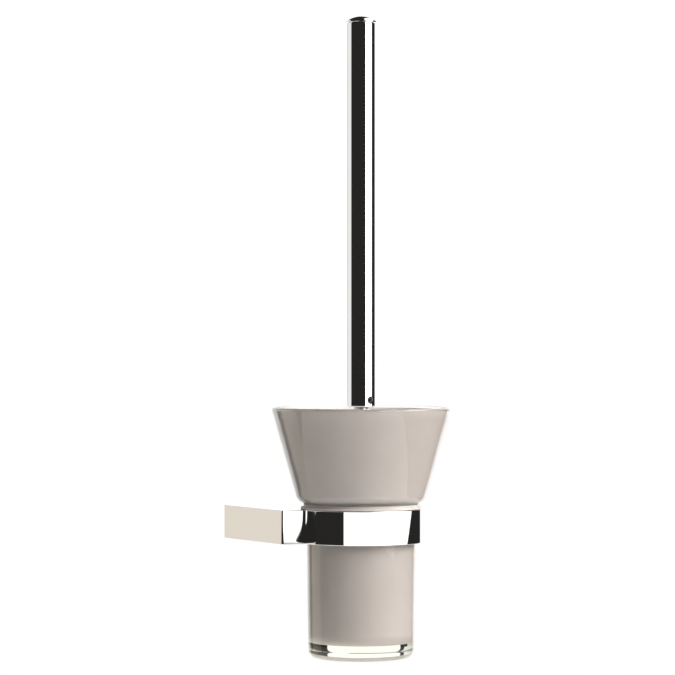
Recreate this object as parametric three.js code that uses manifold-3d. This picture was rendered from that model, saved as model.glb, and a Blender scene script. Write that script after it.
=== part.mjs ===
// Wall-mounted toilet brush holder: a cast bracket with a square arm and a round ring carries a
// flared glass cup, and a brush with a tubular handle stands in the cup.
//
// Frame, in millimetres: the origin is the centre of the arm's back face, on the wall. +Y points
// into the wall, -Y out into the room, +X along the wall to the right, +Z up.
// Cup and brush profiles are drawn with heights measured up from the cup's underside.

import * as THREE from 'three';
import { mergeVertices } from 'three/addons/utils/BufferGeometryUtils.js';
import Module from 'manifold-3d';

const wasm = await Module();
wasm.setup();

// ---- Driving dimensions -------------------------------------------------------------------

const GAP = 0.3;                  // clearance between pieces that touch
const RUNNING_GAP = 0.3;          // slack between the lifting cup and its liner

// Bracket: arm from the wall, ring at its front right
const ARM_WIDTH = 16.6;
const ARM_DEPTH = 74;             // wall to flat front face
const BRACKET_HEIGHT = 20.2;      // arm and ring alike
const RING_RADIUS = 36.5;
const RING_WALL = 1.8;
const RING_CENTRE = new THREE.Vector2(44, -76.8);
const WEB_FILLET = 8;             // concave fillet between the arm's right side and the ring
const EDGE_ROUND = 0.6;           // along the top and bottom edges
const CORNER_ROUND = 1.2;         // upright corner at the arm's front left
const SOCKET_WIDTH = 12.6;        // hollow in the arm's back end
const SOCKET_HEIGHT = 16;
const SOCKET_DEPTH = 45;

// Wall bracket hidden in the arm
const PLATE_THICKNESS = 3;
const TONGUE_THICKNESS = 2.6;
const TONGUE_REACH = 32;          // wall to the tongue's tip
const WALL_HOLE_RADIUS = 1.7;
const WALL_HOLE_HEAD = 2.9;       // countersink radius at the plate's front
const WALL_HOLE_HEIGHT = 4.7;     // above and below the middle
const ARM_SCREW_RADIUS = 2.3;
const ARM_SCREW_Y = -16;
const ARM_SCREW_RECESS = 0.5;

// Cup
const CUP_BASE_TO_RING = 79.25;   // cup's underside to the ring's mid height
const CUP_HEIGHT = 150;
const CUP_RIM_RADIUS = 54;
const CUP_BASE_RADIUS = 31.75;
const CUP_THROAT_RADIUS = 32.8;   // where the cylinder meets the flare
const CUP_FLOOR = 9.2;            // thickness of the solid glass base
const CUP_FOOT_ROUND = 5.5;
const CUP_INNER_ROUND = 6;
const CUP_WALL = 2.8;
const FLARE_ANGLE = THREE.MathUtils.degToRad(15.9);   // cone's slope, from the vertical
const FLARE_ROUND = 6.4;          // radius of the bowl's lower corner, outside
const FLARE_ROUND_HEIGHT = 98.9;  // height of that corner's centre
const THROAT_ROUND = 3;           // inside edge between bowl and cylinder

// Ring liner
const LIP_TOP = 90.6;             // height of the lip that lies on the ring
const LIP_RADIUS = 36.2;
const COLLAR_HEIGHT = 92.2;       // just under the bowl

// Brush
const BRUSH_TOP = 384.8;
const HANDLE_RADIUS = 8.5;
const HANDLE_WALL = 1.2;
const HANDLE_BOTTOM = 150.3;      // level with the cup's rim
const HANDLE_TOP = 380.6;
const HANDLE_CHAMFER = 0.3;
const CAP_RADIUS = 9.1;
const CAP_FLANGE = 0.9;           // upright edge below the dome
const CAP_SPIGOT_DEPTH = 14;
const FERRULE_LENGTH = 30;
const STEM_RADIUS = 4;
const STEM_TOP = 178;
const STEM_CHAMFER = 1;
const STEM_SPIGOT_RADIUS = 3;
const STEM_SPIGOT_LENGTH = 19;
const HANDLE_SCREW_HEIGHT = 154.5;
const HANDLE_SCREW_RADIUS = 1.8;
const HANDLE_SCREW_LENGTH = 3.7;
const HANDLE_SCREW_MOUTH = 2.4;   // countersink radius at the tube's outside
const HANDLE_SCREW_TURN = THREE.MathUtils.degToRad(12);   // from straight outward, to the right
const CORE_RADIUS = 8;
const CORE_BOTTOM = 16;
const CORE_TOP = 96;
const CORE_CHAMFER = 2;
const CORE_NECK_RADIUS = 5.5;
const BRISTLE_RADIUS = 26;
const BRISTLE_BOTTOM = 21;
const BRISTLE_TOP = 88;
const BRISTLE_ROUND = 5;
const TIP_RADIUS = 17;
const TIP_ROUND = 5;
const HEX_SOCKET_DEPTH = 2;
const HEX_SOCKET_RATIO = 0.55;    // socket's corner radius to the screw's radius

const SMALL_SIDES = 16;           // facets round screws and stems
const TUBE_SIDES = 36;            // facets round the handle
const CUP_SIDES = 48;             // facets round the cup, liner and ring
const ARC_STEPS = 4;
const LONG_ARC_STEPS = 6;
const RING_STEPS = 40;            // round the ring's outside, from the arm to the web
const CUT_EXTRA = 1;              // how far a cutter runs past the face that it cuts

const RING_HALF = BRACKET_HEIGHT / 2;
const RING_INNER = RING_RADIUS - RING_WALL;
const LINER_OUTER = RING_INNER - GAP;
const HANDLE_INNER = HANDLE_RADIUS - HANDLE_WALL;

// ---- Materials ----------------------------------------------------------------------------

function chrome() {
  return new THREE.MeshStandardMaterial({ color: 0xdadde0, roughness: 0.06, metalness: 1 });
}

function steel() {
  return new THREE.MeshStandardMaterial({ color: 0x9a9c9e, roughness: 0.35, metalness: 1 });
}

function satinGlass() {
  return new THREE.MeshStandardMaterial({ color: 0xb9b3ad, roughness: 0.3, metalness: 0 });
}

function clearPlastic() {
  return new THREE.MeshStandardMaterial({ color: 0xc9c5bd, roughness: 0.35, metalness: 0 });
}

function whitePlastic() {
  return new THREE.MeshStandardMaterial({ color: 0xe9e8e4, roughness: 0.4, metalness: 0 });
}

function nylon() {
  return new THREE.MeshStandardMaterial({ color: 0xf1efea, roughness: 0.6, metalness: 0 });
}

// ---- Shape helpers ------------------------------------------------------------------------

function point(x, y) {
  return new THREE.Vector2(x, y);
}

// Points on a circular arc, both ends included.
function arc(centre, radius, fromAngle, toAngle, steps = ARC_STEPS) {
  const points = [];
  for (let i = 0; i <= steps; i++) {
    const angle = fromAngle + (toAngle - fromAngle) * i / steps;
    points.push(point(centre.x + radius * Math.cos(angle), centre.y + radius * Math.sin(angle)));
  }
  return points;
}

// A closed mesh with shared vertices, without the slivers that collapse on a lathe's axis.
function weld(geometry) {
  const bare = geometry.clone();
  bare.deleteAttribute('normal');
  bare.deleteAttribute('uv');
  const merged = mergeVertices(bare, 1e-5);
  const corners = merged.index.array;
  const kept = [];
  for (let i = 0; i < corners.length; i += 3) {
    const [a, b, c] = [corners[i], corners[i + 1], corners[i + 2]];
    if (a !== b && b !== c && c !== a) {
      kept.push(a, b, c);
    }
  }
  merged.setIndex(kept);
  return merged;
}

function toSolid(geometry) {
  const closed = weld(geometry);
  return new wasm.Manifold(new wasm.Mesh({
    numProp: 3,
    vertProperties: new Float32Array(closed.attributes.position.array),
    triVerts: new Uint32Array(closed.index.array),
  }));
}

function toGeometry(solid) {
  const mesh = solid.getMesh();
  const geometry = new THREE.BufferGeometry();
  geometry.setAttribute('position', new THREE.BufferAttribute(mesh.vertProperties, 3));
  geometry.setIndex(new THREE.BufferAttribute(mesh.triVerts, 1));
  geometry.computeVertexNormals();
  return geometry;
}

function cut(geometry, ...cutters) {
  let solid = toSolid(geometry);
  for (const cutter of cutters) {
    solid = solid.subtract(toSolid(cutter));
  }
  return toGeometry(solid);
}

// A solid of revolution about +Z from a profile of (radius, height) points.
function turned(profile, sides) {
  const geometry = weld(new THREE.LatheGeometry(profile, sides));
  geometry.rotateX(Math.PI / 2);
  geometry.computeVertexNormals();
  return geometry;
}

function closedProfile(points) {
  return [...points, points[0].clone()];
}

// A hexagon socket cutter, opening at the origin along +Z.
function hexSocket(acrossCorners, depth) {
  const geometry = new THREE.CylinderGeometry(acrossCorners, acrossCorners, depth + CUT_EXTRA, 6);
  geometry.rotateX(Math.PI / 2);
  geometry.translate(0, 0, (CUT_EXTRA - depth) / 2);
  return geometry;
}

function rod(radius, bottom, top, sides = SMALL_SIDES) {
  const geometry = new THREE.CylinderGeometry(radius, radius, top - bottom, sides);
  geometry.rotateX(Math.PI / 2);
  geometry.translate(0, 0, (bottom + top) / 2);
  return geometry;
}

// Turns a cutter or screw that points along +Z to point outward at the handle's screw hole.
function aimAtHandleScrew(geometry) {
  geometry.rotateX(Math.PI / 2);
  geometry.rotateZ(HANDLE_SCREW_TURN);
  geometry.translate(0, 0, HANDLE_SCREW_HEIGHT);
  return geometry;
}

function named(name, geometry, material) {
  const mesh = new THREE.Mesh(geometry, material);
  mesh.name = name;
  return mesh;
}

// ---- Bracket, on the wall -----------------------------------------------------------------

// The casting's outline from above: arm, front face, ring, and the web behind the ring.
function bracketOutline() {
  const halfWidth = ARM_WIDTH / 2;
  const frontOffset = -ARM_DEPTH - RING_CENTRE.y;
  const frontAngle = Math.PI - Math.asin(frontOffset / RING_RADIUS);
  const filletX = halfWidth + WEB_FILLET;
  const filletReach = RING_RADIUS + WEB_FILLET;
  const filletRise = Math.sqrt(filletReach ** 2 - (RING_CENTRE.x - filletX) ** 2);
  const filletCentre = point(filletX, RING_CENTRE.y + filletRise);
  const webAngle = Math.atan2(filletRise, filletX - RING_CENTRE.x);
  const cornerCentre = point(-halfWidth + CORNER_ROUND, -ARM_DEPTH + CORNER_ROUND);

  const outline = [point(halfWidth, 0), point(-halfWidth, 0)];
  outline.push(...arc(cornerCentre, CORNER_ROUND, Math.PI, 1.5 * Math.PI));
  outline.push(...arc(RING_CENTRE, RING_RADIUS, frontAngle, 2 * Math.PI + webAngle, RING_STEPS));
  outline.push(...arc(filletCentre, WEB_FILLET, webAngle - Math.PI, -Math.PI, LONG_ARC_STEPS).slice(1));
  return outline;
}

function holderBracket() {
  const shape = new THREE.Shape(bracketOutline());
  const hole = new THREE.Path(arc(RING_CENTRE, RING_INNER, 0, -2 * Math.PI, CUP_SIDES).slice(1));
  shape.holes.push(hole);
  const casting = new THREE.ExtrudeGeometry(shape, {
    depth: BRACKET_HEIGHT - 2 * EDGE_ROUND,
    bevelEnabled: true,
    bevelSize: EDGE_ROUND,
    bevelThickness: EDGE_ROUND,
    bevelOffset: -EDGE_ROUND,
    bevelSegments: 2,
  });
  casting.translate(0, 0, -RING_HALF + EDGE_ROUND);

  const socket = new THREE.BoxGeometry(SOCKET_WIDTH, SOCKET_DEPTH + CUT_EXTRA, SOCKET_HEIGHT);
  socket.translate(0, (CUT_EXTRA - SOCKET_DEPTH) / 2, 0);
  const screwHole = rod(ARM_SCREW_RADIUS + GAP, -RING_HALF - CUT_EXTRA, 0);
  screwHole.translate(0, ARM_SCREW_Y, 0);
  return named('holder_bracket', cut(casting, socket, screwHole), chrome());
}

function wallBracket() {
  const width = SOCKET_WIDTH - 2 * GAP;
  const height = SOCKET_HEIGHT - 2 * GAP;
  const plate = new THREE.BoxGeometry(width, PLATE_THICKNESS, height);
  plate.translate(0, -PLATE_THICKNESS / 2, 0);
  const tongueLength = TONGUE_REACH - PLATE_THICKNESS / 2;
  const tongue = new THREE.BoxGeometry(width, tongueLength, TONGUE_THICKNESS);
  tongue.translate(0, -TONGUE_REACH + tongueLength / 2, 0);
  let solid = toSolid(plate).add(toSolid(tongue));

  for (const side of [-1, 1]) {
    const countersink = PLATE_THICKNESS - (WALL_HOLE_HEAD - WALL_HOLE_RADIUS);
    const drill = turned([
      point(0, -CUT_EXTRA),
      point(WALL_HOLE_RADIUS, -CUT_EXTRA),
      point(WALL_HOLE_RADIUS, countersink),
      point(WALL_HOLE_HEAD, PLATE_THICKNESS),
      point(WALL_HOLE_HEAD, PLATE_THICKNESS + CUT_EXTRA),
      point(0, PLATE_THICKNESS + CUT_EXTRA),
    ], SMALL_SIDES);
    drill.rotateX(Math.PI / 2);
    drill.translate(0, 0, side * WALL_HOLE_HEIGHT);
    solid = solid.subtract(toSolid(drill));
  }
  return named('wall_bracket', toGeometry(solid), steel());
}

// Grub screw in the arm's underside: it jams the arm on the wall bracket's tongue.
function armSetScrew() {
  const bottom = -RING_HALF + ARM_SCREW_RECESS;
  const top = -TONGUE_THICKNESS / 2 - GAP;
  const body = rod(ARM_SCREW_RADIUS, bottom, top);
  const socket = hexSocket(ARM_SCREW_RADIUS * HEX_SOCKET_RATIO, HEX_SOCKET_DEPTH);
  socket.rotateX(Math.PI);
  socket.translate(0, 0, bottom);
  const mesh = named('arm_set_screw', cut(body, socket), steel());
  mesh.position.y = ARM_SCREW_Y;
  return mesh;
}

// Plastic bush in the ring. Its lip lies on the ring and its collar carries the cup's bowl.
function ringLiner() {
  const bottom = CUP_BASE_TO_RING - RING_HALF + GAP;
  const lipBottom = CUP_BASE_TO_RING + RING_HALF + GAP;
  const inner = CUP_THROAT_RADIUS + RUNNING_GAP;
  const profile = closedProfile([
    point(inner, bottom),
    point(LINER_OUTER, bottom),
    point(LINER_OUTER, lipBottom),
    point(LIP_RADIUS, lipBottom),
    point(LIP_RADIUS, LIP_TOP - GAP),
    point(LIP_RADIUS - GAP, LIP_TOP),
    point(LINER_OUTER, LIP_TOP),
    point(LINER_OUTER, COLLAR_HEIGHT),
    point(inner, COLLAR_HEIGHT),
  ]);
  return named('ring_liner', turned(profile, CUP_SIDES), clearPlastic());
}

// ---- Cup ----------------------------------------------------------------------------------

// The cone's outer radius at a height.
function coneRadius(height) {
  return CUP_RIM_RADIUS - (CUP_HEIGHT - height) * Math.tan(FLARE_ANGLE);
}

// Centre of the bowl's lower corner arc: it touches the cone from the inside.
function flareCorner() {
  const radius = coneRadius(FLARE_ROUND_HEIGHT) - FLARE_ROUND / Math.cos(FLARE_ANGLE);
  return point(radius, FLARE_ROUND_HEIGHT);
}

// Foot, cylinder, the bowl's lower corner and the cone, from the underside up to the rim.
function cupOuterProfile() {
  const footCentre = point(CUP_BASE_RADIUS - CUP_FOOT_ROUND, CUP_FOOT_ROUND);
  const cornerCentre = flareCorner();
  const throatTurn = Math.asin((CUP_THROAT_RADIUS - cornerCentre.x) / FLARE_ROUND);
  const rimHeight = CUP_HEIGHT - CUP_WALL / 2;
  return [
    point(0, 0),
    ...arc(footCentre, CUP_FOOT_ROUND, -Math.PI / 2, 0),
    ...arc(cornerCentre, FLARE_ROUND, throatTurn - Math.PI / 2, -FLARE_ANGLE, LONG_ARC_STEPS),
    point(coneRadius(rimHeight), rimHeight),
  ];
}

// The same from the rim down to the floor, a wall's thickness inside.
function cupInnerProfile() {
  const cornerCentre = flareCorner();
  const innerRound = FLARE_ROUND - CUP_WALL;
  const rimHeight = CUP_HEIGHT - CUP_WALL / 2;
  const rimRadius = coneRadius(rimHeight) - CUP_WALL / Math.cos(FLARE_ANGLE);
  const throatInner = CUP_THROAT_RADIUS - CUP_WALL;
  const baseInner = CUP_BASE_RADIUS - CUP_WALL;
  // The inside edge is a convex arc that touches both the bowl's corner arc and the cylinder.
  const edgeX = throatInner + THROAT_ROUND;
  const edgeTurn = Math.asin((edgeX - cornerCentre.x) / (innerRound + THROAT_ROUND));
  const edgeY = cornerCentre.y - (innerRound + THROAT_ROUND) * Math.cos(edgeTurn);
  const floorCentre = point(baseInner - CUP_INNER_ROUND, CUP_FLOOR + CUP_INNER_ROUND);
  return [
    point(rimRadius, rimHeight),
    ...arc(cornerCentre, innerRound, -FLARE_ANGLE, edgeTurn - Math.PI / 2),
    ...arc(point(edgeX, edgeY), THROAT_ROUND, edgeTurn + Math.PI / 2, Math.PI).slice(1),
    ...arc(floorCentre, CUP_INNER_ROUND, 0, -Math.PI / 2),
    point(0, CUP_FLOOR),
  ];
}

function glassCup() {
  const outer = cupOuterProfile();
  const inner = cupInnerProfile();
  const rimOuter = outer[outer.length - 1];
  const rimInner = inner[0];
  const rimCentre = rimOuter.clone().add(rimInner).multiplyScalar(0.5);
  const rim = arc(rimCentre, rimOuter.x - rimCentre.x, 0, Math.PI).slice(1, -1);
  return named('glass_cup', turned([...outer, ...rim, ...inner], CUP_SIDES), satinGlass());
}

// ---- Brush --------------------------------------------------------------------------------

function handleTube() {
  const c = HANDLE_CHAMFER;
  const profile = closedProfile([
    point(HANDLE_INNER, HANDLE_BOTTOM),
    point(HANDLE_RADIUS - c, HANDLE_BOTTOM),
    point(HANDLE_RADIUS, HANDLE_BOTTOM + c),
    point(HANDLE_RADIUS, HANDLE_TOP - c),
    point(HANDLE_RADIUS - c, HANDLE_TOP),
    point(HANDLE_INNER, HANDLE_TOP),
  ]);
  const shank = HANDLE_SCREW_RADIUS + GAP;
  const drill = turned([
    point(0, HANDLE_INNER - CUT_EXTRA),
    point(shank, HANDLE_INNER - CUT_EXTRA),
    point(shank, HANDLE_RADIUS - (HANDLE_SCREW_MOUTH - shank)),
    point(HANDLE_SCREW_MOUTH, HANDLE_RADIUS),
    point(HANDLE_SCREW_MOUTH, HANDLE_RADIUS + CUT_EXTRA),
    point(0, HANDLE_RADIUS + CUT_EXTRA),
  ], SMALL_SIDES);
  return named('handle_tube', cut(turned(profile, TUBE_SIDES), aimAtHandleScrew(drill)), chrome());
}

function handleCap() {
  const seat = HANDLE_TOP + GAP;
  const spigot = HANDLE_INNER - GAP;
  const shoulder = seat + CAP_FLANGE;
  const rise = BRUSH_TOP - shoulder;
  // The dome is a shallow spherical cap on the flange.
  const domeRadius = (CAP_RADIUS ** 2 + rise ** 2) / (2 * rise);
  const domeTurn = Math.asin(CAP_RADIUS / domeRadius);
  const domeCentre = point(0, BRUSH_TOP - domeRadius);
  const dome = arc(domeCentre, domeRadius, Math.PI / 2 - domeTurn, Math.PI / 2, LONG_ARC_STEPS);
  dome[dome.length - 1].x = 0;
  const profile = [
    point(0, seat - CAP_SPIGOT_DEPTH),
    point(spigot, seat - CAP_SPIGOT_DEPTH),
    point(spigot, seat),
    point(CAP_RADIUS, seat),
    ...dome,
  ];
  return named('handle_cap', turned(profile, TUBE_SIDES), chrome());
}

// Bush in the tube's lower end, bored for the stem and cross-drilled for the set screw.
function handleFerrule() {
  const bottom = HANDLE_BOTTOM + GAP;
  const profile = closedProfile([
    point(STEM_RADIUS + GAP, bottom),
    point(HANDLE_INNER - GAP, bottom),
    point(HANDLE_INNER - GAP, bottom + FERRULE_LENGTH),
    point(STEM_RADIUS + GAP, bottom + FERRULE_LENGTH),
  ]);
  const drill = rod(HANDLE_SCREW_RADIUS + GAP, STEM_RADIUS - CUT_EXTRA, HANDLE_RADIUS);
  const body = cut(turned(profile, TUBE_SIDES), aimAtHandleScrew(drill));
  return named('handle_ferrule', body, whitePlastic());
}

function handleSetScrew() {
  const inner = STEM_RADIUS + GAP;
  const outer = inner + HANDLE_SCREW_LENGTH;
  const socket = hexSocket(HANDLE_SCREW_RADIUS * HEX_SOCKET_RATIO, HEX_SOCKET_DEPTH);
  socket.translate(0, 0, outer);
  const body = cut(rod(HANDLE_SCREW_RADIUS, inner, outer), socket);
  return named('handle_set_screw', aimAtHandleScrew(body), steel());
}

function brushStem() {
  const shoulder = CORE_TOP + GAP;
  const profile = [
    point(0, shoulder - STEM_SPIGOT_LENGTH),
    point(STEM_SPIGOT_RADIUS, shoulder - STEM_SPIGOT_LENGTH),
    point(STEM_SPIGOT_RADIUS, shoulder),
    point(STEM_RADIUS, shoulder),
    point(STEM_RADIUS, STEM_TOP - STEM_CHAMFER),
    point(STEM_RADIUS - STEM_CHAMFER, STEM_TOP),
    point(0, STEM_TOP),
  ];
  return named('brush_stem', turned(profile, SMALL_SIDES), steel());
}

// Moulded core that the tufts are set in, with a blind socket for the stem in its top.
function brushCore() {
  const socketRadius = STEM_SPIGOT_RADIUS + GAP;
  const socketFloor = CORE_TOP - STEM_SPIGOT_LENGTH;
  const profile = [
    point(0, CORE_BOTTOM),
    point(CORE_RADIUS - CORE_CHAMFER, CORE_BOTTOM),
    point(CORE_RADIUS, CORE_BOTTOM + CORE_CHAMFER),
    point(CORE_RADIUS, BRISTLE_TOP),
    point(CORE_NECK_RADIUS, CORE_TOP),
    point(socketRadius, CORE_TOP),
    point(socketRadius, socketFloor),
    point(0, socketFloor),
  ];
  return named('brush_core', turned(profile, TUBE_SIDES), whitePlastic());
}

function sideBristles() {
  const inner = CORE_RADIUS + GAP;
  const r = BRISTLE_ROUND;
  const profile = closedProfile([
    point(inner, BRISTLE_BOTTOM),
    ...arc(point(BRISTLE_RADIUS - r, BRISTLE_BOTTOM + r), r, -Math.PI / 2, 0),
    ...arc(point(BRISTLE_RADIUS - r, BRISTLE_TOP - r), r, 0, Math.PI / 2),
    point(inner, BRISTLE_TOP),
  ]);
  return named('side_bristles', turned(profile, TUBE_SIDES), nylon());
}

// The tufts in the core's lower end. The brush stands on them, on the cup's floor.
function tipBristles() {
  const bottom = CUP_FLOOR + GAP;
  const profile = [
    point(0, bottom),
    ...arc(point(TIP_RADIUS - TIP_ROUND, bottom + TIP_ROUND), TIP_ROUND, -Math.PI / 2, 0),
    point(TIP_RADIUS, CORE_BOTTOM - GAP),
    point(0, CORE_BOTTOM - GAP),
  ];
  return named('tip_bristles', turned(profile, TUBE_SIDES), nylon());
}

// ---- Assembly -----------------------------------------------------------------------------

const holder = new THREE.Group();
holder.add(holderBracket(), wallBracket(), armSetScrew());

// The liner, cup and brush share the ring's axis, with heights from the cup's underside.
const onRingAxis = new THREE.Group();
onRingAxis.position.set(RING_CENTRE.x, RING_CENTRE.y, -CUP_BASE_TO_RING);
onRingAxis.add(ringLiner(), glassCup());
onRingAxis.add(handleTube(), handleCap(), handleFerrule(), handleSetScrew());
onRingAxis.add(brushStem(), brushCore(), sideBristles(), tipBristles());
holder.add(onRingAxis);

export default holder;
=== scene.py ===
"""Looks for a wall-mounted toilet brush holder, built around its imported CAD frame.

Round pieces are turned at a high resolution on the ring's axis, with heights in millimetres above
the cup's underside. The rest is in the row frame: +Y into the wall, +X to the right, +Z up.
"""

import math
import random

import bmesh
import bpy
from mathutils import Matrix, Vector


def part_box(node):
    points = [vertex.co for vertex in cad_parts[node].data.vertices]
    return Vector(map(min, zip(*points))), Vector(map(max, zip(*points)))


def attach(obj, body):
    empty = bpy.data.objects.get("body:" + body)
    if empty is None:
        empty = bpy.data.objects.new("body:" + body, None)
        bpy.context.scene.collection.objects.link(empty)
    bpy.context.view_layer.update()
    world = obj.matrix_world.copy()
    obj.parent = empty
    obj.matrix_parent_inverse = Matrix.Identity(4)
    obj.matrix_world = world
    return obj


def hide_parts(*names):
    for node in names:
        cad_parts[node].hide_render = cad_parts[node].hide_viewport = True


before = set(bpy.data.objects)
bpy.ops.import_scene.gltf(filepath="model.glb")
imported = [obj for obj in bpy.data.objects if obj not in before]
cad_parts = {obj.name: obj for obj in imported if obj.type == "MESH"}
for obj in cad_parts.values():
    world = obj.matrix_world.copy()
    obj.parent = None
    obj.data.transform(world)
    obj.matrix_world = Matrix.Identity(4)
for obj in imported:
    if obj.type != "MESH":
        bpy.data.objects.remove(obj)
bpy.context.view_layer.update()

MM = 0.001
GAP = 0.3                       # between pieces that touch

# Places and sizes that the frame gives, in millimetres
CUP_LOW, CUP_HIGH = (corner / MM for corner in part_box("glass_cup"))
BRACKET_LOW, BRACKET_HIGH = (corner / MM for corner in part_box("holder_bracket"))
TUBE_LOW, TUBE_HIGH = (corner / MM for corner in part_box("handle_tube"))
CAP_LOW, CAP_HIGH = (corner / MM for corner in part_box("handle_cap"))
AXIS_X, AXIS_Y = (CUP_LOW.x + CUP_HIGH.x) / 2, (CUP_LOW.y + CUP_HIGH.y) / 2
BASE_Z = CUP_LOW.z
TUBE_RADIUS = (TUBE_HIGH.x - TUBE_LOW.x) / 2
TUBE_BOTTOM, TUBE_TOP = TUBE_LOW.z - BASE_Z, TUBE_HIGH.z - BASE_Z
CAP_RADIUS = (CAP_HIGH.x - CAP_LOW.x) / 2
BRUSH_TOP = CAP_HIGH.z - BASE_Z

# Bracket
ARM_WIDTH = 16.6
ARM_DEPTH = 74
RING_RADIUS = 36.5
RING_INNER = 34.7
WEB_FILLET = 8
EDGE_ROUND = 0.35
CORNER_ROUND = 1.2
FRONT_DRAFT = math.radians(0.75)    # the arm's front face leans out at its top
FRONT_REACH = 0.2               # how far past the arm's length its front corners may lie
SOCKET = (12.6, 45, 16)         # width, depth and height of the hollow in the arm
ARM_SCREW_HOLE = 2.6
ARM_SCREW_Y = -16
CUT_EXTRA = 1                   # a cutter reaches at least this far beyond what it cuts

# Cup
CUP_HEIGHT = 150
RIM_RADIUS = 54
BASE_RADIUS = 31.75
THROAT_RADIUS = 32.8
FLOOR = 9.2
FOOT_ROUND = 5.5
FLOOR_ROUND = 6
WALL = 2.8
FLARE = math.radians(15.9)
FLARE_ROUND = 6.4
FLARE_ROUND_HEIGHT = 98.9
THROAT_ROUND = 3
COATING_DEPTH = 0.06            # how far the coating keys into the glass
COATING_THICKNESS = 0.2
COATING_TOP = 148.9
COATING_TRANSLUCENCY = 0.04

# Liner
LIP_RADIUS = 36.2
LIP_TOP = 90.6
LIP_ROUND = 0.35
COLLAR_TOP = 92.2
LINER_OUTER = RING_INNER - GAP

# Brush
TUBE_WALL = 1.2
TUBE_BEVEL = 0.3
OUTSIDE_BAND = 0.1              # faces this near the tube's radius are its outside,
OUTSIDE_FACING = 0.99           # if the cosine between normal and radius is above this
SPIGOT_LENGTH = 14
SPIGOT_BEVEL = 0.5
CAP_FLANGE = 0.9
CAP_BEVEL = 0.12
FERRULE_LENGTH = 30
FERRULE_BEVEL = 0.4
STEM_RADIUS = 4
STEM_TOP = 178
STEM_BEVEL = 1
TENON_RADIUS, TENON_LENGTH = 3, 19      # the thinner end of the stem, inside the core
SCREW_HEIGHT = 154.5
SCREW_TURN = math.radians(12)
SCREW_HOLE = 2.1
SCREW_MOUTH = 2.4
SCREW_MOUTH_DEPTH = 0.45
# Painted highlight in the handle's set screw: a bright patch for its socket's reflection, of this
# radius
GLINT_RADIUS = 0.75
GLINT_OUTER, GLINT_INNER = 1.2, 0.8       # shares of it, between which the painted highlight fades into the dark oxide
CORE_RADIUS = 8
CORE_BOTTOM, CORE_TOP = 16, 96
CORE_ROUND = 2
NECK_ROUND = 0.8                # the rounding at the top of the core's neck,
NECK_OFFSET = 0.7               # how far outside the stem it is centred,
NECK_START = 0.3                # and the angle at which the neck's taper runs into it
BRISTLE_RADIUS = 26
BRISTLE_BOTTOM, BRISTLE_TOP = 21, 88
ROWS, TUFTS_IN_ROW = 13, 12
ROW_MARGIN = 3.5                # from an end of the bristles to the nearest row's holes
ROW_CUTS = (2.2, 0.7, 0)        # how much shorter the end row, the next row and the others are
TIP_CIRCLES = ((1.5, 4), (5.2, 10))     # radius of each circle in the core's end, and its tufts
TIP_LEAN = 1.1                  # how far a tip tuft leans outward, per millimetre of radius
TIP_CLEARANCE = 0.1             # between the lowest tips and the height they stand on
SIDE_FILAMENTS, SIDE_SPREAD = 20, 3.0
TIP_FILAMENTS, TIP_SPREAD = 18, 1.6
TUFT_RADIUS = 0.7               # at its root
TRIM = (0.955, 0.99)            # shortest and longest filament, as shares of the tuft's length
FILAMENT_RADIUS = 0.13
FILAMENT_TAPER = 0.7

FINE_SIDES = 160
SIDES = 96

# Camera: level, turned to the left of the arm's outward direction
CAMERA_TURN = math.radians(29.5)
CAMERA_DISTANCE = 1.908
CAMERA_HEIGHT = 192             # above the cup's underside, in millimetres
CAMERA_LEFT = 0.0141            # of the cup's axis
LENS = 169.6
SENSOR = 36


# ---- Camera, light and floor --------------------------------------------------------------

def make_camera():
    toward = Vector((-math.sin(CAMERA_TURN), -math.cos(CAMERA_TURN), 0))
    right = Vector((math.cos(CAMERA_TURN), -math.sin(CAMERA_TURN), 0))
    data = bpy.data.cameras.new("camera")
    data.lens = LENS
    data.sensor_width = SENSOR
    camera = bpy.data.objects.new("camera", data)
    axis = Vector((AXIS_X * MM, AXIS_Y * MM, (BASE_Z + CAMERA_HEIGHT) * MM))
    camera.location = axis + toward * CAMERA_DISTANCE - right * CAMERA_LEFT
    camera.rotation_mode = "QUATERNION"
    camera.rotation_quaternion = (-toward).to_track_quat("-Z", "Y")
    bpy.context.scene.collection.objects.link(camera)
    bpy.context.scene.camera = camera


class Nodes:
    """Adds shader nodes and joins them in one line."""

    def __init__(self, tree):
        self.tree = tree

    def add(self, kind, inputs=None, **settings):
        node = self.tree.nodes.new(kind)
        for name, value in settings.items():
            setattr(node, name, value)
        for key, value in (inputs or {}).items():
            if isinstance(value, bpy.types.NodeSocket):
                self.tree.links.new(value, node.inputs[key])
            else:
                node.inputs[key].default_value = value
        return node

    def math(self, operation, *values):
        return self.add("ShaderNodeMath", dict(enumerate(values)), operation=operation).outputs[0]

    def vector(self, operation, *values):
        inputs = dict(enumerate(values))
        return self.add("ShaderNodeVectorMath", inputs, operation=operation).outputs

    def step(self, value, start, end):
        """0 below start, 1 above end, smooth between. Start may be the larger of the two."""
        inputs = {"Value": value, "From Min": start, "From Max": end}
        node = self.add("ShaderNodeMapRange", inputs, interpolation_type="SMOOTHSTEP")
        return node.outputs["Result"]

    def window(self, value, low, high, soft):
        rise = self.step(value, low - soft, low + soft)
        fall = self.step(value, high + soft, high - soft)
        return self.math("MULTIPLY", rise, fall)

    def mix(self, factor, first, second):
        """Mixes two colours: the node's input sockets 6 and 7, and its output socket 2."""
        inputs = {0: factor, 6: first, 7: second}
        return self.add("ShaderNodeMix", inputs, data_type="RGBA").outputs[2]


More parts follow.
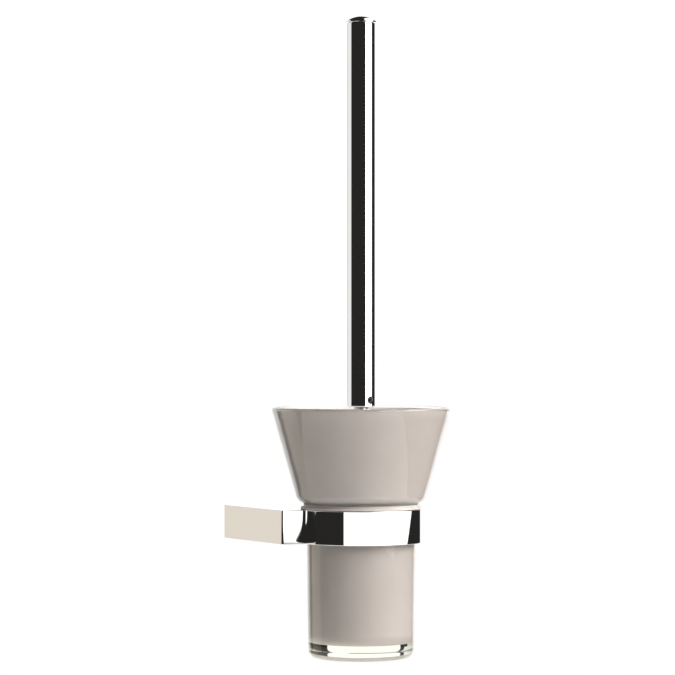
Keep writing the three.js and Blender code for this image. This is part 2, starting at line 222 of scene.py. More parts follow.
# Studio cards round the object, as seen from it: azimuth of the middle and half width, lowest and
# highest elevation, colour. Azimuth 0 is the arm's outward direction, and it grows to the right.
STUDIO_DARK = (0.022, 0.021, 0.019, 1)
TABLE_EDGE = -2.3               # elevation of the table top's far edge
STUDIO_CARDS = [
    (37.5, 30, TABLE_EDGE, 11, (3.4, 3.3, 3.2, 1)),             # large white card on the right
    (33.0, 38, 13, 50, (7.3, 7.05, 6.85, 1)),                   # soft box above it
    (-65.0, 36, 7, 24, (0.6, 0.6, 0.6, 1)),                     # weak fill, left of the front
    (-141.5, 25, TABLE_EDGE, 52, (0.93, 0.93, 0.89, 1)),        # grey-white board on the left
    (-143.5, 16, -30, TABLE_EDGE, (0.85, 0.775, 0.665, 1)),     # its warm lower part
    (154, 32.5, -40, 26, (1.15, 1.14, 1.12, 1)),                # backdrop
    (129.5, 9, 27, 60, (2.0, 2.0, 1.95, 1)),                    # high light, behind on the right
]
CARD_SOFTNESS = 0.6
EDGE_SOFTNESS = 0.04
SEEN_COLOUR = (1, 1, 1, 1)      # of the studio, where the camera sees it directly

# Front strip, a bright table top. Its far edge is level, its right end slants, and its near edge
# curves down towards the right, which shapes the reflection on the arm's front face.
STRIP_COLOUR = (1.6, 1.57, 1.52, 1)
STRIP_LEFT = -62.5
STRIP_RIGHT, STRIP_RIGHT_SLANT = 140, 19
STRIP_BOTTOM, STRIP_BOTTOM_DROP = -3.9, 1.2
STRIP_DROP_FROM, STRIP_DROP_TO = -26.5, 29.5
STRIP_DROP_POWER = 0.15


def make_world():
    world = bpy.data.worlds.new("studio")
    world.use_nodes = True
    world.node_tree.nodes.clear()
    n = Nodes(world.node_tree)
    direction = n.add("ShaderNodeTexCoord").outputs["Generated"]
    split = n.add("ShaderNodeSeparateXYZ", {0: direction}).outputs
    outward = n.math("MULTIPLY", split["Y"], -1.0)
    azimuth = n.math("DEGREES", n.math("ARCTAN2", split["X"], outward))
    elevation = n.math("DEGREES", n.math("ARCSINE", split["Z"]))
    colour = STUDIO_DARK
    for middle, half, low, high, card in STUDIO_CARDS:
        turned = n.math("WRAP", n.math("SUBTRACT", azimuth, middle), 180.0, -180.0)
        across = n.step(n.math("ABSOLUTE", turned), half + CARD_SOFTNESS, half - CARD_SOFTNESS)
        up = n.window(elevation, low, high, CARD_SOFTNESS if low < TABLE_EDGE else EDGE_SOFTNESS)
        colour = n.mix(n.math("MULTIPLY", across, up), colour, card)
    along = n.add("ShaderNodeMapRange", {
        "Value": azimuth, "From Min": STRIP_DROP_FROM, "From Max": STRIP_DROP_TO,
    }).outputs["Result"]
    curve = n.math("POWER", along, STRIP_DROP_POWER)
    level = n.math("MULTIPLY_ADD", curve, STRIP_BOTTOM_DROP, elevation)
    near = n.step(level, STRIP_BOTTOM - EDGE_SOFTNESS, STRIP_BOTTOM + EDGE_SOFTNESS)
    far = n.step(elevation, TABLE_EDGE + EDGE_SOFTNESS, TABLE_EDGE - EDGE_SOFTNESS)
    up = n.math("MULTIPLY", near, far)
    slanted = n.math("MULTIPLY_ADD", elevation, -STRIP_RIGHT_SLANT, azimuth)
    left = n.step(azimuth, STRIP_LEFT - CARD_SOFTNESS, STRIP_LEFT + CARD_SOFTNESS)
    right = n.step(slanted, STRIP_RIGHT + CARD_SOFTNESS, STRIP_RIGHT - CARD_SOFTNESS)
    across = n.math("MULTIPLY", left, right)
    colour = n.mix(n.math("MULTIPLY", across, up), colour, STRIP_COLOUR)
    seen = n.add("ShaderNodeLightPath").outputs["Is Camera Ray"]
    colour = n.mix(seen, colour, SEEN_COLOUR)
    background = n.add("ShaderNodeBackground", {"Color": colour})
    n.add("ShaderNodeOutputWorld", {"Surface": background.outputs[0]})
    bpy.context.scene.world = world


# Floor, in metres. Its light is strongest near the cup's axis and falls off over a distance.
FLOOR_Z = -0.35
FLOOR_RADIUS = 0.9
GLOW_NEAR, GLOW_FAR = 0.8, 0.2
GLOW_FADE_START, GLOW_FADE_END = 0.1, 0.32


def make_floor():
    shape = bmesh.new()
    bmesh.ops.create_circle(shape, cap_ends=True, radius=FLOOR_RADIUS, segments=128)
    mesh = new_mesh("floor", shape)
    floor = bpy.data.objects.new("floor", mesh)
    floor.location = (0, 0, FLOOR_Z)
    bpy.context.scene.collection.objects.link(floor)
    mesh.materials.append(lit_floor())


# ---- Materials ----------------------------------------------------------------------------

def material(name):
    made = bpy.data.materials.new(name)
    made.use_nodes = True
    made.node_tree.nodes.clear()
    n = Nodes(made.node_tree)
    shader = n.add("ShaderNodeBsdfPrincipled")
    output = n.add("ShaderNodeOutputMaterial", {"Surface": shader.outputs[0]})
    return made, n, shader, output


def join(n, socket, value):
    n.tree.links.new(value, socket)


def lit_floor():
    """Opal table top, lit from below, most of all under the cup."""
    made, n, shader, _ = material("floor_opal")
    shader.inputs["Base Color"].default_value = (0.86, 0.86, 0.85, 1)
    shader.inputs["Roughness"].default_value = 0.8
    shader.inputs["Emission Color"].default_value = (1, 0.98, 0.96, 1)
    spot = n.add("ShaderNodeTexCoord").outputs["Object"]
    under_cup = (AXIS_X * MM, AXIS_Y * MM, 0)
    glow = n.add("ShaderNodeMapRange", {
        "Value": n.vector("DISTANCE", spot, under_cup)["Value"],
        "From Min": GLOW_FADE_START, "From Max": GLOW_FADE_END,
        "To Min": GLOW_NEAR, "To Max": GLOW_FAR,
    }, interpolation_type="SMOOTHSTEP")
    join(n, shader.inputs["Emission Strength"], glow.outputs["Result"])
    return made


def noise(n, scale, detail=3.0, stretch=(1, 1, 1)):
    """Noise in object space, scale in features per metre."""
    spot = n.add("ShaderNodeTexCoord").outputs["Object"]
    mapped = n.add("ShaderNodeMapping", {"Vector": spot, "Scale": stretch}).outputs[0]
    inputs = {"Vector": mapped, "Scale": scale, "Detail": detail}
    return n.add("ShaderNodeTexNoise", inputs).outputs["Fac"]


def bump(n, shader, height, distance, strength=1.0):
    inputs = {"Height": height, "Distance": distance, "Strength": strength}
    join(n, shader.inputs["Normal"], n.add("ShaderNodeBump", inputs).outputs[0])


def chrome():
    """Bright plating: a near mirror, with a trace of uneven polish."""
    made, n, shader, _ = material("chrome")
    shader.inputs["Base Color"].default_value = (0.86, 0.87, 0.88, 1)
    shader.inputs["Metallic"].default_value = 1
    polish = n.add("ShaderNodeMapRange", {
        "Value": noise(n, 90, stretch=(1, 1, 0.35)), "From Min": 0.35, "From Max": 0.75,
        "To Min": 0.008, "To Max": 0.02,
    }).outputs["Result"]
    join(n, shader.inputs["Roughness"], polish)
    return made


def steel():
    """Drawn steel, with a fine upright grain."""
    made, n, shader, _ = material("steel")
    shader.inputs["Base Color"].default_value = (0.56, 0.57, 0.58, 1)
    shader.inputs["Metallic"].default_value = 1
    grain = noise(n, 900, 2.0, stretch=(1, 1, 0.08))
    rough = n.add("ShaderNodeMapRange", {"Value": grain, "To Min": 0.22, "To Max": 0.42})
    join(n, shader.inputs["Roughness"], rough.outputs["Result"])
    bump(n, shader, grain, 0.00002, 0.5)
    return made


def screw_axis():
    """Where the handle's set screw meets the tube's axis, in millimetres, and which way it points."""
    centre = Vector((AXIS_X, AXIS_Y, BASE_Z + SCREW_HEIGHT))
    outward = Vector((math.sin(SCREW_TURN), -math.cos(SCREW_TURN), 0))
    return centre, outward


def oxide_screw(piece):
    """Black-oxide set screw, with a painted highlight where its socket would reflect light."""
    made, n, shader, _ = material("oxide_screw")
    to_local = piece.matrix_world.inverted()
    centre, outward = screw_axis()
    spot = n.add("ShaderNodeTexCoord").outputs["Object"]
    offset = n.vector("SUBTRACT", spot, to_local @ (centre * MM))[0]
    across = n.vector("CROSS_PRODUCT", offset, to_local.to_3x3() @ outward)[0]
    reach = n.vector("LENGTH", across)["Value"]
    # A bright patch painted at the socket's middle: a painted highlight, standing in for the socket's
    # reflection
    painted_glint = n.step(reach, GLINT_RADIUS * GLINT_OUTER * MM, GLINT_RADIUS * GLINT_INNER * MM)
    join(n, shader.inputs["Base Color"], n.mix(painted_glint, (0.02, 0.02, 0.02, 1), (0.85, 0.85, 0.83, 1)))
    shader.inputs["Roughness"].default_value = 0.4
    shader.inputs["Metallic"].default_value = 0.3
    bump(n, shader, noise(n, 1500, 2.0), 0.00001, 0.3)
    return made


def clear_glass():
    """Crystal glass, faintly yellow-green where it is thick."""
    made, n, shader, output = material("cup_glass")
    shader.inputs["Base Color"].default_value = (1, 1, 1, 1)
    shader.inputs["Roughness"].default_value = 0.0
    shader.inputs["IOR"].default_value = 1.51
    shader.inputs["Transmission Weight"].default_value = 1
    bump(n, shader, noise(n, 25, 1.0), 0.00002, 0.2)
    tint = n.add("ShaderNodeVolumeAbsorption", {"Color": (0.82, 0.9, 0.62, 1), "Density": 5.0})
    join(n, output.inputs["Volume"], tint.outputs[0])
    return made


def satin_coating():
    """Grey-white satin lacquer inside the glass, slightly cloudy. A little light gets through."""
    made, n, shader, output = material("satin_coating")
    cloud = noise(n, 55, 4.0)
    colour = n.mix(cloud, (0.68, 0.625, 0.595, 1), (0.76, 0.705, 0.67, 1))
    join(n, shader.inputs["Base Color"], colour)
    shader.inputs["Roughness"].default_value = 0.5
    bump(n, shader, noise(n, 2600, 2.0), 0.00002, 0.3)
    glow = n.add("ShaderNodeBsdfTranslucent", {"Color": colour})
    layers = {0: COATING_TRANSLUCENCY, 1: shader.outputs[0], 2: glow.outputs[0]}
    both = n.add("ShaderNodeMixShader", layers)
    join(n, output.inputs["Surface"], both.outputs[0])
    return made


def liner_plastic():
    """Translucent bush, with the slight waviness of a moulding."""
    made, n, shader, _ = material("liner_plastic")
    cloud = noise(n, 70, 2.0)
    join(n, shader.inputs["Base Color"], n.mix(cloud, (0.5, 0.48, 0.46, 1), (0.58, 0.56, 0.54, 1)))
    shader.inputs["Roughness"].default_value = 0.55
    shader.inputs["Subsurface Weight"].default_value = 0.6
    shader.inputs["Subsurface Scale"].default_value = 0.003
    bump(n, shader, noise(n, 120, 1.0), 0.00003, 0.3)
    return made


def white_plastic():
    """Moulded plastic, with a slight cloudiness and a fine skin."""
    made, n, shader, _ = material("white_plastic")
    cloud = noise(n, 40)
    colour = n.mix(cloud, (0.78, 0.77, 0.74, 1), (0.86, 0.85, 0.83, 1))
    join(n, shader.inputs["Base Color"], colour)
    shader.inputs["Roughness"].default_value = 0.38
    bump(n, shader, noise(n, 1500, 2.0), 0.00003, 0.4)
    return made


def nylon():
    """White filaments, some a little darker and warmer than others."""
    made, n, shader, _ = material("nylon")
    fibre = noise(n, 700, 2.0)
    colour = n.mix(fibre, (0.76, 0.75, 0.71, 1), (0.92, 0.915, 0.89, 1))
    join(n, shader.inputs["Base Color"], colour)
    shader.inputs["Roughness"].default_value = 0.45
    shader.inputs["Subsurface Weight"].default_value = 0.15
    shader.inputs["Subsurface Scale"].default_value = 0.0006
    return made


# ---- Mesh helpers -------------------------------------------------------------------------

def arc(x, z, radius, start, end, steps=12):
    """Points on a circular arc, both ends included."""
    turns = [start + (end - start) * i / steps for i in range(steps + 1)]
    return [(x + radius * math.cos(t), z + radius * math.sin(t)) for t in turns]


def new_mesh(name, shape):
    """Turns a bmesh into a mesh, and frees it."""
    mesh = bpy.data.meshes.new(name)
    shape.to_mesh(mesh)
    shape.free()
    return mesh


def new_object(name, mesh, finish):
    piece = bpy.data.objects.new(name, mesh)
    bpy.context.scene.collection.objects.link(piece)
    mesh.materials.append(finish)
    return piece


def shade(piece, sharp=30, weighted=True):
    """Smooth shading with crisp edges, and flat faces kept flat beside their rounded edges."""
    piece.data.shade_smooth()
    piece.data.set_sharp_from_angle(angle=math.radians(sharp))
    if weighted:
        modifier = piece.modifiers.new("face_weights", "WEIGHTED_NORMAL")
        modifier.keep_sharp = True
    return piece


def lathe(name, profile, finish, sides=SIDES, closed=False):
    """Turns a profile of (radius, height) points about the ring's axis.

    An open profile starts and ends on the axis; a closed one is a ring's section.
    """
    shape = bmesh.new()
    rows = []
    for radius, height in profile:
        z = (BASE_Z + height) * MM
        if radius < 1e-6:
            rows.append([shape.verts.new((AXIS_X * MM, AXIS_Y * MM, z))])
            continue
        row = []
        for i in range(sides):
            turn = 2 * math.pi * i / sides
            x = (AXIS_X + radius * math.sin(turn)) * MM
            y = (AXIS_Y - radius * math.cos(turn)) * MM
            row.append(shape.verts.new((x, y, z)))
        rows.append(row)
    pairs = list(zip(rows, rows[1:]))
    if closed:
        pairs.append((rows[-1], rows[0]))
    for low, high in pairs:
        for i in range(sides):
            j = (i + 1) % sides
            if len(low) == 1:
                shape.faces.new((low[0], high[j], high[i]))
            elif len(high) == 1:
                shape.faces.new((low[i], low[j], high[0]))
            else:
                shape.faces.new((low[i], low[j], high[j], high[i]))
    bmesh.ops.recalc_face_normals(shape, faces=shape.faces)
    return new_object(name, new_mesh(name, shape), finish)


def box_mesh(low, high):
    """A box between two corners, in millimetres."""
    shape = bmesh.new()
    size = Vector(high) - Vector(low)
    centre = (Vector(high) + Vector(low)) / 2
    matrix = Matrix.Translation(centre) @ Matrix.Diagonal((*size, 1))
    bmesh.ops.create_cube(shape, size=1, matrix=matrix)
    return shape


def rod_mesh(radius, start, end, sides=48, end_radius=None):
    """A closed round bar or cone between two points, in millimetres."""
    start, end = Vector(start), Vector(end)
    along = end - start
    turn = along.to_track_quat("Z", "Y").to_matrix().to_4x4()
    matrix = Matrix.Translation((start + end) / 2) @ turn
    far = radius if end_radius is None else end_radius
    shape = bmesh.new()
    bmesh.ops.create_cone(
        shape, cap_ends=True, segments=sides,
        radius1=radius, radius2=far, depth=along.length, matrix=matrix,
    )
    return shape


def cut(piece, *shapes):
    """Cuts bmesh solids, in millimetres, out of a piece for good."""
    cutters = []
    for i, shape in enumerate(shapes):
        bmesh.ops.scale(shape, vec=(MM, MM, MM), verts=shape.verts)
        cutter = bpy.data.objects.new(f"cutter_{i}", new_mesh(f"cutter_{i}", shape))
        bpy.context.scene.collection.objects.link(cutter)
        modifier = piece.modifiers.new(f"cut_{i}", "BOOLEAN")
        modifier.operation = "DIFFERENCE"
        modifier.solver = "EXACT"
        modifier.object = cutter
        cutters.append(cutter)
    apply_modifiers(piece)
    for cutter in cutters:
        bpy.data.objects.remove(cutter)


def evaluated_mesh(piece):
    evaluated = piece.evaluated_get(bpy.context.evaluated_depsgraph_get())
    return bpy.data.meshes.new_from_object(evaluated)


def apply_modifiers(piece):
    mesh = evaluated_mesh(piece)
    piece.modifiers.clear()
    piece.data = mesh


def place(piece, body, *nodes, slot):
    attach(piece, body)
    if nodes:
        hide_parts(*nodes)


# ---- Bracket ------------------------------------------------------------------------------

def bracket_outline():
    """The casting from above: arm, flat front face, ring, and the web behind the ring."""
    half = ARM_WIDTH / 2
    front = math.pi - math.asin((-ARM_DEPTH - AXIS_Y) / RING_RADIUS)
    fillet_x = half + WEB_FILLET
    reach = RING_RADIUS + WEB_FILLET
    rise = math.sqrt(reach ** 2 - (AXIS_X - fillet_x) ** 2)
    web = math.atan2(rise, fillet_x - AXIS_X)
    corner_x, corner_y = -half + CORNER_ROUND, -ARM_DEPTH + CORNER_ROUND
    corner = arc(corner_x, corner_y, CORNER_ROUND, math.pi, 1.5 * math.pi)
    ring = arc(AXIS_X, AXIS_Y, RING_RADIUS, front, 2 * math.pi + web, FINE_SIDES)
    fillet = arc(fillet_x, AXIS_Y + rise, WEB_FILLET, web - math.pi, -math.pi)
    return [(half, 0), (-half, 0), *corner, *ring, *fillet[1:]]


def make_bracket(finish):
    height = BRACKET_HIGH.z - BRACKET_LOW.z
    curve = bpy.data.curves.new("bracket_outline", "CURVE")
    curve.dimensions = "2D"
    curve.fill_mode = "BOTH"
    curve.extrude = (height / 2 - EDGE_ROUND) * MM
    curve.bevel_depth = EDGE_ROUND * MM
    curve.bevel_resolution = 4
    curve.offset = -EDGE_ROUND * MM
    hole = arc(AXIS_X, AXIS_Y, RING_INNER, 0, 2 * math.pi, FINE_SIDES)[:-1]
    for points in (bracket_outline(), hole):
        spline = curve.splines.new("POLY")
        spline.points.add(len(points) - 1)
        for spot, (x, y) in zip(spline.points, points):
            spot.co = (x * MM, y * MM, 0, 1)
        spline.use_cyclic_u = True
    drawn = bpy.data.objects.new("bracket_outline", curve)
    bpy.context.scene.collection.objects.link(drawn)
    bpy.context.view_layer.update()
    mesh = evaluated_mesh(drawn)
    bpy.data.objects.remove(drawn)
    mesh.materials.clear()
    shape = bmesh.new()
    shape.from_mesh(mesh)
    bmesh.ops.remove_doubles(shape, verts=shape.verts, dist=1e-6)
    side, front = ARM_WIDTH / 2 * MM, -(ARM_DEPTH + FRONT_REACH) * MM
    behind = -(ARM_DEPTH - CORNER_ROUND) * MM
    for corner in shape.verts:
        if corner.co.x < side and front < corner.co.y < behind:
            corner.co.y -= corner.co.z * math.tan(FRONT_DRAFT)
    bmesh.ops.recalc_face_normals(shape, faces=shape.faces)
    shape.to_mesh(mesh)
    shape.free()
    piece = new_object("bracket_casting", mesh, finish)
    width, depth, tall = SOCKET
    socket = box_mesh((-width / 2, -depth, -tall / 2), (width / 2, CUT_EXTRA, tall / 2))
    below = (0, ARM_SCREW_Y, BRACKET_LOW.z - CUT_EXTRA)
    screw_hole = rod_mesh(ARM_SCREW_HOLE, below, (0, ARM_SCREW_Y, 0))
    cut(piece, socket, screw_hole)
    shade(piece)
    place(piece, "bracket", "holder_bracket", slot="chrome")


def make_liner(finish):
    inner = THROAT_RADIUS + GAP
    ring_bottom, ring_top = BRACKET_LOW.z - BASE_Z, BRACKET_HIGH.z - BASE_Z
    lip_centre = (LIP_RADIUS - LIP_ROUND, LIP_TOP - LIP_ROUND)
    profile = [
        (inner, ring_bottom + GAP),
        (LINER_OUTER, ring_bottom + GAP),
        (LINER_OUTER, ring_top + GAP),
        (LIP_RADIUS, ring_top + GAP),
        *arc(*lip_centre, LIP_ROUND, 0, math.pi / 2, 5),
        (LINER_OUTER, LIP_TOP),
        (LINER_OUTER, COLLAR_TOP),
        (inner, COLLAR_TOP),
    ]
    piece = shade(lathe("ring_bush", profile, finish, closed=True))
    place(piece, "bracket", "ring_liner", slot="liner_plastic")


# ---- Cup ----------------------------------------------------------------------------------

def cone_radius(height):
    return RIM_RADIUS - (CUP_HEIGHT - height) * math.tan(FLARE)


def flare_centre():
    """The radius at which the flare's rounding is centred."""
    return cone_radius(FLARE_ROUND_HEIGHT) - FLARE_ROUND / math.cos(FLARE)


def outer_profile():
    """The outside of the glass, from the axis under its base up to the rim."""
    corner_x = flare_centre()
    throat = math.asin((THROAT_RADIUS - corner_x) / FLARE_ROUND)
    rim = CUP_HEIGHT - WALL / 2
    return [
        (0, 0),
        *arc(BASE_RADIUS - FOOT_ROUND, FOOT_ROUND, FOOT_ROUND, -math.pi / 2, 0),
        *arc(corner_x, FLARE_ROUND_HEIGHT, FLARE_ROUND, throat - math.pi / 2, -FLARE),
        (cone_radius(rim), rim),
    ]


def inner_profile(inset=0.0):
    """The inside of the glass from the rim down to the floor, moved inward by inset."""
    thick = WALL + inset
    corner_x = flare_centre()
    inner_round = FLARE_ROUND - thick
    edge_round = THROAT_ROUND + inset
    edge_x = THROAT_RADIUS - WALL + THROAT_ROUND
    edge_turn = math.asin((edge_x - corner_x) / (inner_round + edge_round))
    edge_z = FLARE_ROUND_HEIGHT - (inner_round + edge_round) * math.cos(edge_turn)
    floor_x = BASE_RADIUS - WALL - FLOOR_ROUND
    rim = CUP_HEIGHT - WALL / 2
    return [
        (cone_radius(rim) - thick / math.cos(FLARE), rim),
        *arc(corner_x, FLARE_ROUND_HEIGHT, inner_round, -FLARE, edge_turn - math.pi / 2),
        *arc(edge_x, edge_z, edge_round, edge_turn + math.pi / 2, math.pi, 8)[1:],
        *arc(floor_x, FLOOR + FLOOR_ROUND, FLOOR_ROUND - inset, 0, -math.pi / 2),
        (0, FLOOR + inset),
    ]


def make_cup(finish):
    outer, inner = outer_profile(), inner_profile()
    (outside, rim), (inside, _) = outer[-1], inner[0]
    edge = arc((outside + inside) / 2, rim, (outside - inside) / 2, 0, math.pi)[1:-1]
    piece = shade(lathe("cup_crystal", [*outer, *edge, *inner], finish, FINE_SIDES))
    place(piece, "cup", "glass_cup", slot="cup_glass")


def from_top(profile, top):
    """A downward profile whose straight first part starts at another height."""
    (x0, z0), (x1, z1) = profile[0], profile[1]
    share = (z0 - top) / (z0 - z1)
    return [(x0 + (x1 - x0) * share, top), *profile[1:]]


def make_coating(finish):
    """A thin closed skin that keys into the glass, so that no air shows between them."""
    in_glass = from_top(inner_profile(-COATING_DEPTH), COATING_TOP)
    inside = from_top(inner_profile(COATING_THICKNESS - COATING_DEPTH), COATING_TOP)
    profile = [*reversed(in_glass), *inside]
    piece = shade(lathe("cup_coating", profile, finish, FINE_SIDES))
    place(piece, "cup", slot="satin_coating")


# ---- Brush --------------------------------------------------------------------------------

def make_tube(finish):
    inner = TUBE_RADIUS - TUBE_WALL
    profile = [
        (inner, TUBE_BOTTOM),
        (TUBE_RADIUS - TUBE_BEVEL, TUBE_BOTTOM),
        (TUBE_RADIUS, TUBE_BOTTOM + TUBE_BEVEL),
        (TUBE_RADIUS, TUBE_TOP - TUBE_BEVEL),
        (TUBE_RADIUS - TUBE_BEVEL, TUBE_TOP),
        (inner, TUBE_TOP),
    ]
    piece = lathe("handle_shaft", profile, finish, FINE_SIDES, closed=True)
    centre, outward = screw_axis()

    def bore(start, end, **taper):
        return rod_mesh(SCREW_HOLE, centre + outward * start, centre + outward * end, **taper)

    # The countersink's cone goes on as far outside the tube as it goes into it.
    hole = bore(inner - CUT_EXTRA, TUBE_RADIUS + CUT_EXTRA)
    mouth = bore(TUBE_RADIUS - SCREW_MOUTH_DEPTH, TUBE_RADIUS + SCREW_MOUTH_DEPTH,
                 end_radius=SCREW_HOLE + 2 * (SCREW_MOUTH - SCREW_HOLE))
    cut(piece, hole, mouth)
    radial_normals(shade(piece, weighted=False))
    place(piece, "brush", "handle_tube", slot="chrome")


def radial_normals(piece):
    """Gives the tube's outside the normals of a true cylinder, however its faces were cut."""
    mesh = piece.data
    axis = Vector((AXIS_X * MM, AXIS_Y * MM, 0))
    normals = [Vector(corner.vector) for corner in mesh.corner_normals]
    for polygon in mesh.polygons:
        away = polygon.center - axis
        away.z = 0
        on_outside = away.length > (TUBE_RADIUS - OUTSIDE_BAND) * MM
        if on_outside and polygon.normal.dot(away.normalized()) > OUTSIDE_FACING:
            for corner in polygon.loop_indices:
                spot = mesh.vertices[mesh.loops[corner].vertex_index].co - axis
                spot.z = 0
                normals[corner] = spot.normalized()
    mesh.normals_split_custom_set(normals)


def make_cap(finish):
    seat = TUBE_TOP + GAP
    spigot = TUBE_RADIUS - TUBE_WALL - GAP
    shoulder = seat + CAP_FLANGE
    rise = BRUSH_TOP - shoulder
    dome = (CAP_RADIUS ** 2 + rise ** 2) / (2 * rise)
    turn = math.asin(CAP_RADIUS / dome)
    crown = arc(0, BRUSH_TOP - dome, dome, math.pi / 2 - turn, math.pi / 2, 16)[:-1]
    profile = [
        (0, seat - SPIGOT_LENGTH),
        (spigot - SPIGOT_BEVEL, seat - SPIGOT_LENGTH),
        (spigot, seat - SPIGOT_LENGTH + SPIGOT_BEVEL),
        (spigot, seat),
        (CAP_RADIUS - CAP_BEVEL, seat),
        (CAP_RADIUS, seat + CAP_BEVEL),
        *crown,
        (0, BRUSH_TOP),
    ]
    piece = shade(lathe("handle_dome", profile, finish, FINE_SIDES), sharp=25)
    place(piece, "brush", "handle_cap", slot="chrome")


def make_ferrule(finish):
    inner, outer = STEM_RADIUS + GAP, TUBE_RADIUS - TUBE_WALL - GAP
    low = TUBE_BOTTOM + GAP
    profile = [
        (inner, low),
        (outer - FERRULE_BEVEL, low),
        (outer, low + FERRULE_BEVEL),
        (outer, low + FERRULE_LENGTH),
        (inner, low + FERRULE_LENGTH),
    ]
    piece = lathe("handle_bush", profile, finish, closed=True)
    centre, outward = screw_axis()
    start, end = STEM_RADIUS - CUT_EXTRA, TUBE_RADIUS
    cut(piece, rod_mesh(SCREW_HOLE, centre + outward * start, centre + outward * end))
    shade(piece)
    place(piece, "brush", "handle_ferrule", slot="white_plastic")


def make_stem(finish):
    shoulder = CORE_TOP + GAP
    profile = [
        (0, shoulder - TENON_LENGTH),
        (TENON_RADIUS, shoulder - TENON_LENGTH),
        (TENON_RADIUS, shoulder),
        (STEM_RADIUS, shoulder),
        (STEM_RADIUS, STEM_TOP - STEM_BEVEL),
        (STEM_RADIUS - STEM_BEVEL, STEM_TOP),
        (0, STEM_TOP),
    ]
    place(shade(lathe("stem_rod", profile, finish)), "brush", "brush_stem", slot="steel")


def make_core(finish):
    """The moulded core: a round bar with a rounded end and a tapered neck round the stem."""
    socket = TENON_RADIUS + GAP
    neck = (STEM_RADIUS + NECK_OFFSET, CORE_TOP - NECK_ROUND)
    profile = [
        (0, CORE_BOTTOM),
        *arc(CORE_RADIUS - CORE_ROUND, CORE_BOTTOM + CORE_ROUND, CORE_ROUND, -math.pi / 2, 0, 6),
        (CORE_RADIUS, BRISTLE_TOP),
        *arc(*neck, NECK_ROUND, NECK_START, math.pi / 2, 5),
        (socket, CORE_TOP),
        (socket, CORE_TOP - TENON_LENGTH),
        (0, CORE_TOP - TENON_LENGTH),
    ]
    place(shade(lathe("head_core", profile, finish)), "brush", "brush_core", slot="white_plastic")


def add_filament(shape, root, tip, radius):
    """One thin three-sided bristle, narrower at its tip."""
    along = (tip - root).normalized()
    side = along.orthogonal().normalized()
    other = along.cross(side)
    rings = []
    for spot, width in ((root, radius), (tip, radius * FILAMENT_TAPER)):
        turns = [2 * math.pi * i / 3 for i in range(3)]
        ring = [spot + (side * math.cos(t) + other * math.sin(t)) * width for t in turns]
        rings.append([shape.verts.new(v * MM) for v in ring])
    low, high = rings
    for i in range(3):
        j = (i + 1) % 3
        shape.faces.new((low[i], low[j], high[j], high[i]))
    shape.faces.new(tuple(reversed(low)))
    shape.faces.new(tuple(high))


def tuft(shape, rng, root, direction, length, spread, filaments, lowest=None):
    """A tuft fans out from its hole in the core. If lowest is given, no tip goes below it."""
    side = direction.orthogonal().normalized()
    other = direction.cross(side)
    for _ in range(filaments):
        turn, reach = rng.uniform(0, 2 * math.pi), math.sqrt(rng.random())
        offset = side * math.cos(turn) * reach + other * math.sin(turn) * reach
        tip = root + direction * (length * rng.uniform(*TRIM)) + offset * spread
        if lowest is not None:
            tip.z = max(tip.z, lowest)
        add_filament(shape, root + offset * TUFT_RADIUS, tip, FILAMENT_RADIUS)


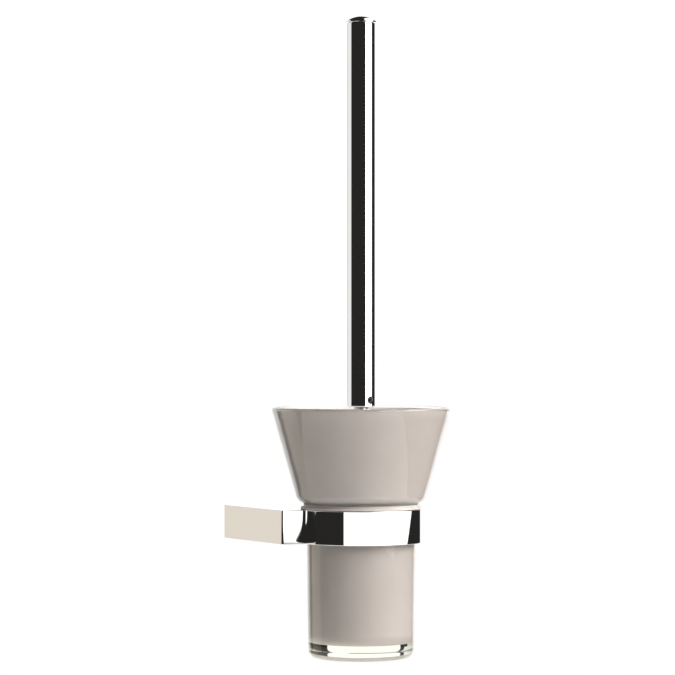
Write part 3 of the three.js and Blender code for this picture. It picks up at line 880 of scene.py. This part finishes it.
def make_side_bristles(finish):
    rng = random.Random(11)
    shape = bmesh.new()
    low, high = BRISTLE_BOTTOM + ROW_MARGIN, BRISTLE_TOP - ROW_MARGIN
    for row in range(ROWS):
        height = low + (high - low) * row / (ROWS - 1)
        # The end rows are cut shorter, so the head has rounded ends.
        from_end = min(row, ROWS - 1 - row)
        length = BRISTLE_RADIUS - CORE_RADIUS - ROW_CUTS[min(from_end, len(ROW_CUTS) - 1)]
        for i in range(TUFTS_IN_ROW):
            # Every other row is turned by half the space between its tufts.
            turn = 2 * math.pi * (i + 0.5 * (row % 2)) / TUFTS_IN_ROW
            direction = Vector((math.sin(turn), -math.cos(turn), 0))
            root = Vector((AXIS_X, AXIS_Y, BASE_Z + height)) + direction * (CORE_RADIUS + GAP)
            tuft(shape, rng, root, direction, length, SIDE_SPREAD, SIDE_FILAMENTS)
    piece = new_object("side_tufts", new_mesh("side_tufts", shape), finish)
    place(piece, "brush", "side_bristles", slot="nylon")


def make_tip_bristles(finish):
    rng = random.Random(12)
    shape = bmesh.new()
    low = FLOOR + GAP
    floor = BASE_Z + low + TIP_CLEARANCE
    for circle, count in TIP_CIRCLES:
        for i in range(count):
            turn = 2 * math.pi * i / count
            outward = Vector((math.sin(turn), -math.cos(turn), 0))
            root = Vector((AXIS_X, AXIS_Y, BASE_Z + CORE_BOTTOM - GAP)) + outward * circle
            lean = outward * circle * TIP_LEAN
            reach = Vector((0, 0, -(CORE_BOTTOM - GAP - low))) + lean
            direction = reach.normalized()
            tuft(shape, rng, root, direction, reach.length, TIP_SPREAD, TIP_FILAMENTS, floor)
    piece = new_object("tip_tufts", new_mesh("tip_tufts", shape), finish)
    place(piece, "brush", "tip_bristles", slot="nylon")


# ---- CAD nodes that stay ------------------------------------------------------------------

def dress(node, finish, edge=0.12):
    """A CAD node that stays gets its material and fine broken edges."""
    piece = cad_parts[node]
    piece.data.materials.clear()
    piece.data.materials.append(finish)
    weld = piece.modifiers.new("weld", "WELD")
    weld.merge_threshold = 1e-6
    bevel = piece.modifiers.new("broken_edges", "BEVEL")
    bevel.width = edge * MM
    bevel.segments = 2
    bevel.angle_limit = math.radians(40)


# ---- Scene --------------------------------------------------------------------------------

make_camera()
make_world()
make_floor()

CHROME, STEEL, WHITE, NYLON = chrome(), steel(), white_plastic(), nylon()
make_bracket(CHROME)
make_liner(liner_plastic())
make_cup(clear_glass())
make_coating(satin_coating())
make_tube(CHROME)
make_cap(CHROME)
make_ferrule(WHITE)
make_stem(STEEL)
make_core(WHITE)
make_side_bristles(NYLON)
make_tip_bristles(NYLON)
for kept in ("wall_bracket", "arm_set_screw"):
    dress(kept, STEEL)
dress("handle_set_screw", oxide_screw(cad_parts["handle_set_screw"]))

bpy.context.scene.view_settings.view_transform = "Standard"
